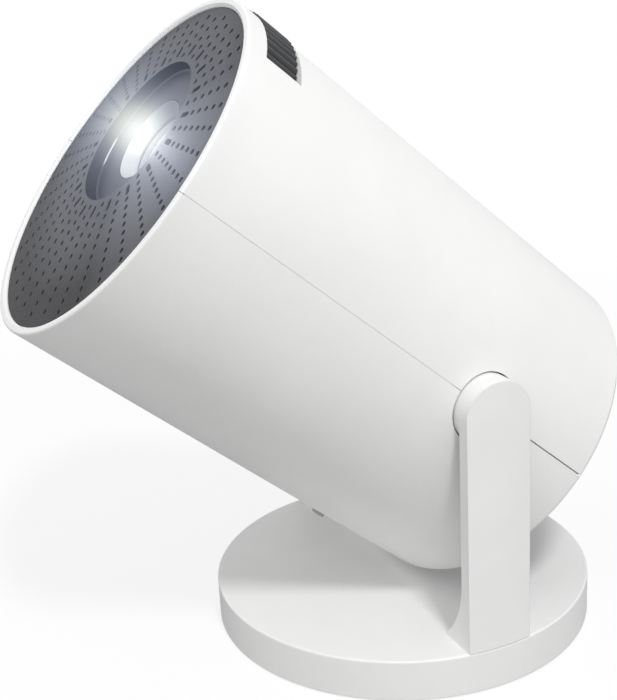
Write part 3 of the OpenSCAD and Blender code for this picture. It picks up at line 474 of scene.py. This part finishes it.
def makeThread(t):
    mount = [m for m in frame["record"]["mounts"] if m["name"] == "tripod_thread"][0]
    radius = mount["dims"]["r_mm"] * mm
    root = t["root"] * t["pitch"] / 2
    crest = t["crest"] * t["pitch"] / 2
    count = t["turns"] * t["steps"]
    bm = bmesh.new()
    before = None
    for i in range(count + 1):
        a = 2 * math.pi * i / t["steps"]
        rise = min(1.0, min(i, count - i) / (t["steps"] * t["runIn"]))
        middle = t["start"] + t["pitch"] * i / t["steps"] + root
        foot = radius + t["sunk"]
        top = radius - t["height"] * rise
        outline = ((foot, middle - root), (top, middle - crest),
                   (top, middle + crest), (foot, middle + root))
        ring = [bm.verts.new((r * math.cos(a), r * math.sin(a), z)) for r, z in outline]
        if before:
            joinLoops(bm, before, ring)
        else:
            bm.faces.new(ring)
        before = ring
    bm.faces.new(reversed(before))
    makePiece("tripodThread", bm, Matrix.Identity(4), "stand", mats["turnedBrass"])


makeThread(threadLook)
print("contacts and thread made")


# the tongue of the lower shell closes the seam in front of the hinge from within
tongueLook = {
    "width": 0.1 * mm,
    "inner": 0.9 * mm,      # its inner and outer faces, in from the side of the head
    "outer": 0.04 * mm,
    "fromHinge": 14 * mm,
    "fromRim": 1.2 * mm,
}


def makeTongues(t):
    high = headBox("lower_shell")[1]
    half = t["width"] / 2
    bm = bmesh.new()
    for side in (-1, 1):
        near, far = sorted((side * (high.x - t["inner"]), side * (high.x - t["outer"])))
        addBlock(bm, (near, -half, t["fromHinge"]), (far, half, high.z - t["fromRim"]))
    makePiece("seamTongues", bm, headAxes, "head", mats["shellWhite"])


makeTongues(tongueLook)
print("seam closed")


# for each point: the way to it from a line along the head, its distance from that line, its place along it
def roundLens(tree, height=lensUp):
    coords = addNode(tree, "ShaderNodeTexCoord")
    foot = headAxes @ Vector((0, height, 0))
    away = calcVector(tree, "SUBTRACT", coords.outputs["Object"], foot)
    along = calcVector(tree, "DOT_PRODUCT", away, forward)
    whole = calcVector(tree, "LENGTH", away)
    wholeSquare = calc(tree, "MULTIPLY", whole, whole)
    alongSquare = calc(tree, "MULTIPLY", along, along)
    radius = calc(tree, "SQRT", calc(tree, "SUBTRACT", wholeSquare, alongSquare))
    return away, radius, along


# cosine of the angle round the lens line between a point and the given degrees, 0 being towards +X
def towards(tree, away, radius, degrees):
    a = math.radians(degrees)
    way = (Vector((1, 0, 0)) * math.cos(a) + upward * math.sin(a)).normalized()
    return calc(tree, "DIVIDE", calcVector(tree, "DOT_PRODUCT", away, way), radius)


# the front lens glows, a little less at its edge
lensLook = {
    "colour": (0.10, 0.115, 0.13),
    "roughness": 0.12,
    "coat": 0.5,
    "lightColour": (0.90, 0.97, 0.97),
    "middleStrength": 0.17,
    "edgeStrength": 0.14,
    "edgeRadius": 11.8 * mm,
}


def makeLens(g):
    mat, tree, shader = newMaterial("lensLit")
    _, radius, _ = roundLens(tree)
    fall = spread(tree, radius, g["middleStrength"], g["edgeStrength"], 0.0, g["edgeRadius"])
    tree.links.new(fall, shader.inputs["Emission Strength"])
    setInputs(shader, Base_Color=opaque(g["colour"]), Roughness=g["roughness"], Coat_Weight=g["coat"],
              Emission_Color=opaque(g["lightColour"]))
    dress(nodes["front_lens"], mat)


# painted light: the bezel glows a little all round, and most of all in a painted highlight, a petal on its lower
# left as the camera sees it
bezelLook = {
    "dark": (0.085, 0.09, 0.095),
    "light": (0.12, 0.125, 0.13),
    "driftScale": 120,
    "driftDetail": 3,
    "driftRough": 0.5,
    "roughness": 0.34,
    "lightColour": (0.93, 0.99, 0.96),
    # strength of the painted glow all round, then of the painted highlight in the petal
    "strength": 0.09,
    "petalHighlightStrength": 0.39,
    "petalAngle": 240,
    "petalFrom": 0.72,      # cosines off that angle at which the petal starts and is full
    "petalFull": 0.99,
}


def makeBezel(g):
    mat, tree, shader = newMaterial("bezelLit")
    drift = objectNoise(tree, g["driftScale"], g["driftDetail"], g["driftRough"])
    tree.links.new(twoColours(tree, drift, g["dark"], g["light"]), shader.inputs["Base Color"])
    away, radius, _ = roundLens(tree)
    # painted glow, rising to the painted highlight towards the petal's angle
    petal = spread(tree, towards(tree, away, radius, g["petalAngle"]), g["strength"], g["petalHighlightStrength"],
                   g["petalFrom"], g["petalFull"])
    tree.links.new(petal, shader.inputs["Emission Strength"])
    setInputs(shader, Roughness=g["roughness"], Emission_Color=opaque(g["lightColour"]))
    dress(nodes["lens_bezel"], mat)


# painted highlight: the floor of the cup has a thin painted ring of light, with a brighter painted streak in it
cupLook = {
    "finish": dict(dark=(0.034, 0.034, 0.046), light=(0.044, 0.044, 0.058), driftScale=40,
                   grainScale=2600, grainDepth=0.03 * mm, smooth=0.32, rough=0.45, edge=0.2 * mm, ior=1.4),
    "lightColour": (0.90, 0.97, 0.97),
    "ringRadius": 21.4 * mm,
    "ringHalf": 0.75 * mm,      # half its width, of which this share has full strength
    "ringCore": 0.55,
    # strength of the painted light on the ring, then in its streak
    "ringStrength": 0.05,
    "streakHighlightStrength": 0.55,
    "streakAngle": 201,
    "streakFrom": 0.972,        # cosines off that angle at which the streak starts and is full
    "streakFull": 0.99,
}


def makeCup(g):
    mat, tree, shader, _ = madeSurface("cupLit", g["finish"])
    away, radius, _ = roundLens(tree)
    off = calc(tree, "ABSOLUTE", calc(tree, "SUBTRACT", radius, g["ringRadius"]))
    band = spread(tree, off, 1.0, 0.0, g["ringHalf"] * g["ringCore"], g["ringHalf"])
    streak = spread(tree, towards(tree, away, radius, g["streakAngle"]), g["ringStrength"],
                    g["streakHighlightStrength"], g["streakFrom"], g["streakFull"])
    # the painted highlight is emission on the ring, strongest at the streak
    tree.links.new(calc(tree, "MULTIPLY", band, streak), shader.inputs["Emission Strength"])
    setInputs(shader, Emission_Color=opaque(g["lightColour"]))
    dress(nodes["lens_cup"], mat)


# painted highlight: the walls of the holes are painted pale just under the face, for the glint that their turned
# edges catch from the lamp
faceLook = {
    "finish": dict(dark=(0.034, 0.034, 0.038), light=(0.044, 0.044, 0.049), driftScale=40,
                   grainScale=2600, grainDepth=0.04 * mm, smooth=0.38, rough=0.52, edge=0.2 * mm, ior=1.2),
    "wallBelow": 0.3,           # cosine between normal and lens line: a wall is under the first,
    "faceAbove": 0.8,           # and the face is over the second
    # colour of the painted glint
    "paintedGlintColour": (0.14, 0.14, 0.15),
    "lipDepth": 0.15 * mm,
    "lipBlur": 0.4,             # the lip fades over this share of its depth, both ways
    "openRadius": 23 * mm,      # no lip on the wall of the opening for the lens
    "openBlur": 0.3 * mm,
    "rimBand": 0.5 * mm,        # width of the rim, where it is measured how far the face is crowned
    "lightColour": (0.88, 0.91, 1.0),
    "paintedLightStrength": 0.06,      # painted light of the lens on the face around it
    "lightNear": 34 * mm,
    "lightFar": 50 * mm,
    "sideStrength": 0.085,      # more of it towards this angle, from the first cosine off it to the second
    "sideAngle": -8,
    "sideFrom": 0.72,
    "sideFull": 0.98,
}
faceLevel = headBox("front_grille")[1].z


# how far a point lies behind the crowned face
def behindFace(tree, rimBand):
    points = headPoints("front_grille")
    rim = max(math.hypot(p.x, p.y) for p in points)
    sag = faceLevel - max(p.z for p in points if math.hypot(p.x, p.y) > rim - rimBand)
    _, radius, along = roundLens(tree, 0)
    share = calc(tree, "POWER", calc(tree, "DIVIDE", radius, rim), 2.0)
    level = calc(tree, "SUBTRACT", faceLevel, calc(tree, "MULTIPLY", share, sag))
    return calc(tree, "SUBTRACT", level, along)


def makeFace(g):
    mat, tree, shader, colour = madeSurface("grillePaintedGlints", g["finish"])
    away, radius, _ = roundLens(tree)
    coords = addNode(tree, "ShaderNodeTexCoord")
    flat = calc(tree, "ABSOLUTE", calcVector(tree, "DOT_PRODUCT", coords.outputs["Normal"], forward))
    wall = spread(tree, flat, 1.0, 0.0, g["wallBelow"], g["faceAbove"])
    shallow = spread(tree, behindFace(tree, g["rimBand"]), 1.0, 0.0, g["lipDepth"] * (1 - g["lipBlur"]),
                     g["lipDepth"] * (1 + g["lipBlur"]))
    outside = spread(tree, radius, 0.0, 1.0, g["openRadius"], g["openRadius"] + g["openBlur"])
    # the painted glint: on hole walls just under the face, not on the wall of the opening for the lens
    paintedGlint = calc(tree, "MULTIPLY", calc(tree, "MULTIPLY", wall, shallow), outside)
    mix = addNode(tree, "ShaderNodeMix", data_type="RGBA")
    tree.links.new(paintedGlint, mix.inputs["Factor"])
    tree.links.new(colour, mix.inputs["A"])
    setInputs(mix, B=opaque(g["paintedGlintColour"]))
    tree.links.new(mix.outputs["Result"], shader.inputs["Base Color"])
    # painted light of the lens on the face, fading outward and stronger towards one side, none on the hole walls
    around = spread(tree, radius, g["paintedLightStrength"], 0.0, g["lightNear"], g["lightFar"])
    side = spread(tree, towards(tree, away, radius, g["sideAngle"]), 0.0, g["sideStrength"], g["sideFrom"],
                  g["sideFull"])
    face = calc(tree, "SUBTRACT", 1.0, wall)
    tree.links.new(calc(tree, "MULTIPLY", calc(tree, "ADD", around, side), face),
                   shader.inputs["Emission Strength"])
    setInputs(shader, Emission_Color=opaque(g["lightColour"]))
    dress(nodes["front_grille"], mat)


makeLens(lensLook)
makeBezel(bezelLook)
makeCup(cupLook)
makeFace(faceLook)

shineLook = {
    "reach": 60 * mm,           # radius of the shine round the lens
    "width": 9.3 * mm,          # how wide its bright middle is
    "falloff": 1.5,             # how steeply it fades outside that
    "brightness": 0.9,
    "fadeOver": 0.08,           # none behind the face, and all of it from this share of the reach before it
    "coreColour": (0.96, 1.0, 0.97),
    "outerColour": (0.62, 0.72, 1.0),
    "coreAbove": 0.62,          # shares of the brightness above and below which it has these colours
    "outerBelow": 0.08,
}


# the bloom of the lit lens is a round soft lamp that only the camera sees
def makeShine(g):
    data = bpy.data.lights.new("lensShine", "POINT")
    data.shadow_soft_size = g["reach"]
    data.use_soft_falloff = False
    data.energy = 4 * (math.pi * g["reach"]) ** 2 * g["brightness"]     # watts for that brightness
    data.use_nodes = True
    tree = data.node_tree
    weight = addNode(tree, "ShaderNodeLayerWeight", Blend=0.5)
    turned = calc(tree, "SUBTRACT", 1.0, weight.outputs["Facing"])      # 1 in the middle, 0 at the edge
    away = calc(tree, "SUBTRACT", 1.0, calc(tree, "MULTIPLY", turned, turned))      # square of the share out
    core = (g["width"] / g["reach"]) ** 2
    fall = calc(tree, "POWER", calc(tree, "DIVIDE", core, calc(tree, "ADD", away, core)), g["falloff"])
    lift = spread(tree, fall, 0.0, 1.0, (core / (1 + core)) ** g["falloff"], 1.0)      # 0 at the edge
    coords = addNode(tree, "ShaderNodeTexCoord")
    local = addNode(tree, "ShaderNodeSeparateXYZ")
    tree.links.new(coords.outputs["Object"], local.inputs["Vector"])
    ahead = spread(tree, calc(tree, "DIVIDE", local.outputs["Z"], g["reach"]), 0.0, 1.0, 0.0, g["fadeOver"])
    tint = twoColours(tree, fall, g["outerColour"], g["coreColour"], g["outerBelow"], g["coreAbove"])
    glow = tree.nodes["Emission"]
    tree.links.new(calc(tree, "MULTIPLY", lift, ahead), glow.inputs["Strength"])
    tree.links.new(tint, glow.inputs["Color"])
    shine = bpy.data.objects.new("lensShine", data)
    shine.matrix_world = headAxes @ Matrix.Translation((0, lensUp, faceLevel))
    shine.visible_camera = True
    shine.visible_diffuse = False
    shine.visible_glossy = False
    shine.visible_transmission = False
    bpy.context.scene.collection.objects.link(shine)
    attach(shine, "head")


makeShine(shineLook)

cupLampLook = {
    "ahead": 6 * mm,        # in front of the face
    "size": 5 * mm,
    "power": 0.006,
    "colour": (0.74, 0.82, 1.0),
}


# a small lamp that isn't seen itself lights the cup
def makeCupLamp(g):
    data = bpy.data.lights.new("lensLamp", "POINT")
    data.energy = g["power"]
    data.color = g["colour"]
    data.shadow_soft_size = g["size"]
    lamp = bpy.data.objects.new("lensLamp", data)
    lamp.location = headAxes @ Vector((0, lensUp, faceLevel + g["ahead"]))
    lamp.visible_camera = False
    bpy.context.scene.collection.objects.link(lamp)
    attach(lamp, "head")


makeCupLamp(cupLampLook)
print("lens lit")


# the floor looks white, keeps the shadow near the object and has no horizon
floorLook = {
    "size": 8.0,
    "colour": (0.46, 0.46, 0.46),      # what it throws back at the object
    "roughness": 0.9,
    "seenLift": 0.5,                   # what the camera sees on top of that
    "shadowReach": 0.45,               # metres from the middle at which it is plain white
    "shadowWhole": 0.225,              # and up to which the shadow is at its darkest
    "shadowFade": 0.55,                # how far that shadow is washed out
}


def makeFloor(s):
    half = s["size"] / 2
    corners = [(-half, -half, 0), (half, -half, 0), (half, half, 0), (-half, half, 0)]
    mesh = bpy.data.meshes.new("floor")
    mesh.from_pydata(corners, [], [(0, 1, 2, 3)])
    floor = bpy.data.objects.new("floor", mesh)
    bpy.context.scene.collection.objects.link(floor)
    mat, tree, shader = newMaterial("floorWhite")
    setInputs(shader, Base_Color=opaque(s["colour"]), Roughness=s["roughness"], Specular_IOR_Level=0.0,
              Emission_Color=white)
    seen = addNode(tree, "ShaderNodeLightPath").outputs["Is Camera Ray"]
    tree.links.new(spread(tree, seen, 0.0, s["seenLift"], 0.0, 1.0), shader.inputs["Emission Strength"])
    plain = addNode(tree, "ShaderNodeEmission")
    coords = addNode(tree, "ShaderNodeTexCoord")
    away = calcVector(tree, "LENGTH", coords.outputs["Object"])
    far = spread(tree, away, s["shadowFade"], 1.0, s["shadowWhole"], s["shadowReach"])
    mix = addNode(tree, "ShaderNodeMixShader")
    tree.links.new(calc(tree, "MULTIPLY", far, seen), mix.inputs["Fac"])
    tree.links.new(shader.outputs[0], mix.inputs[1])
    tree.links.new(plain.outputs[0], mix.inputs[2])
    tree.links.new(mix.outputs[0], tree.nodes["Material Output"].inputs["Surface"])
    dress(floor, mat)


makeFloor(floorLook)

skyLook = {"strength": 0.70}      # of its light on the object; the sky itself looks white


def makeSky(s):
    world = bpy.data.worlds.new("studio")
    bpy.context.scene.world = world
    world.use_nodes = True
    tree = world.node_tree
    tree.nodes.clear()
    out = addNode(tree, "ShaderNodeOutputWorld")
    seen = addNode(tree, "ShaderNodeBackground", Color=white, Strength=1.0)
    lit = addNode(tree, "ShaderNodeBackground", Color=white, Strength=s["strength"])
    path = addNode(tree, "ShaderNodeLightPath").outputs
    direct = calc(tree, "MAXIMUM", path["Is Camera Ray"], path["Is Glossy Ray"])
    mix = addNode(tree, "ShaderNodeMixShader")
    tree.links.new(calc(tree, "MAXIMUM", direct, path["Is Transmission Ray"]), mix.inputs["Fac"])
    tree.links.new(lit.outputs[0], mix.inputs[1])
    tree.links.new(seen.outputs[0], mix.inputs[2])
    tree.links.new(mix.outputs[0], out.inputs["Surface"])


makeSky(skyLook)

lamps = {
    "key": {"place": (0.757, -0.105, 1.13), "size": 0.18, "power": 8.1, "colour": (1, 1, 1)},
    "front": {"place": (-0.35, -0.9, 0.7), "size": 0.7, "power": 0.4, "colour": (1, 1, 1)},
    "side": {"place": (1.05, -0.50, 0.45), "size": 0.5, "power": 0.8, "colour": (1, 1, 1)},
}
lampAim = (0, 0, 0.08)      # they all face this point


def addLamp(name, lamp):
    data = bpy.data.lights.new(name, "AREA")
    data.shape = "DISK"
    data.size = lamp["size"]
    data.energy = lamp["power"]
    data.color = lamp["colour"]
    obj = bpy.data.objects.new(name, data)
    obj.location = lamp["place"]
    toward = Vector(lampAim) - Vector(lamp["place"])
    obj.rotation_euler = toward.to_track_quat("-Z", "Y").to_euler()
    obj.visible_camera = False
    bpy.context.scene.collection.objects.link(obj)


for lampName, lamp in lamps.items():
    addLamp(lampName, lamp)
print("floor, sky and lamps ready")

bpy.context.scene.view_settings.view_transform = "Standard"
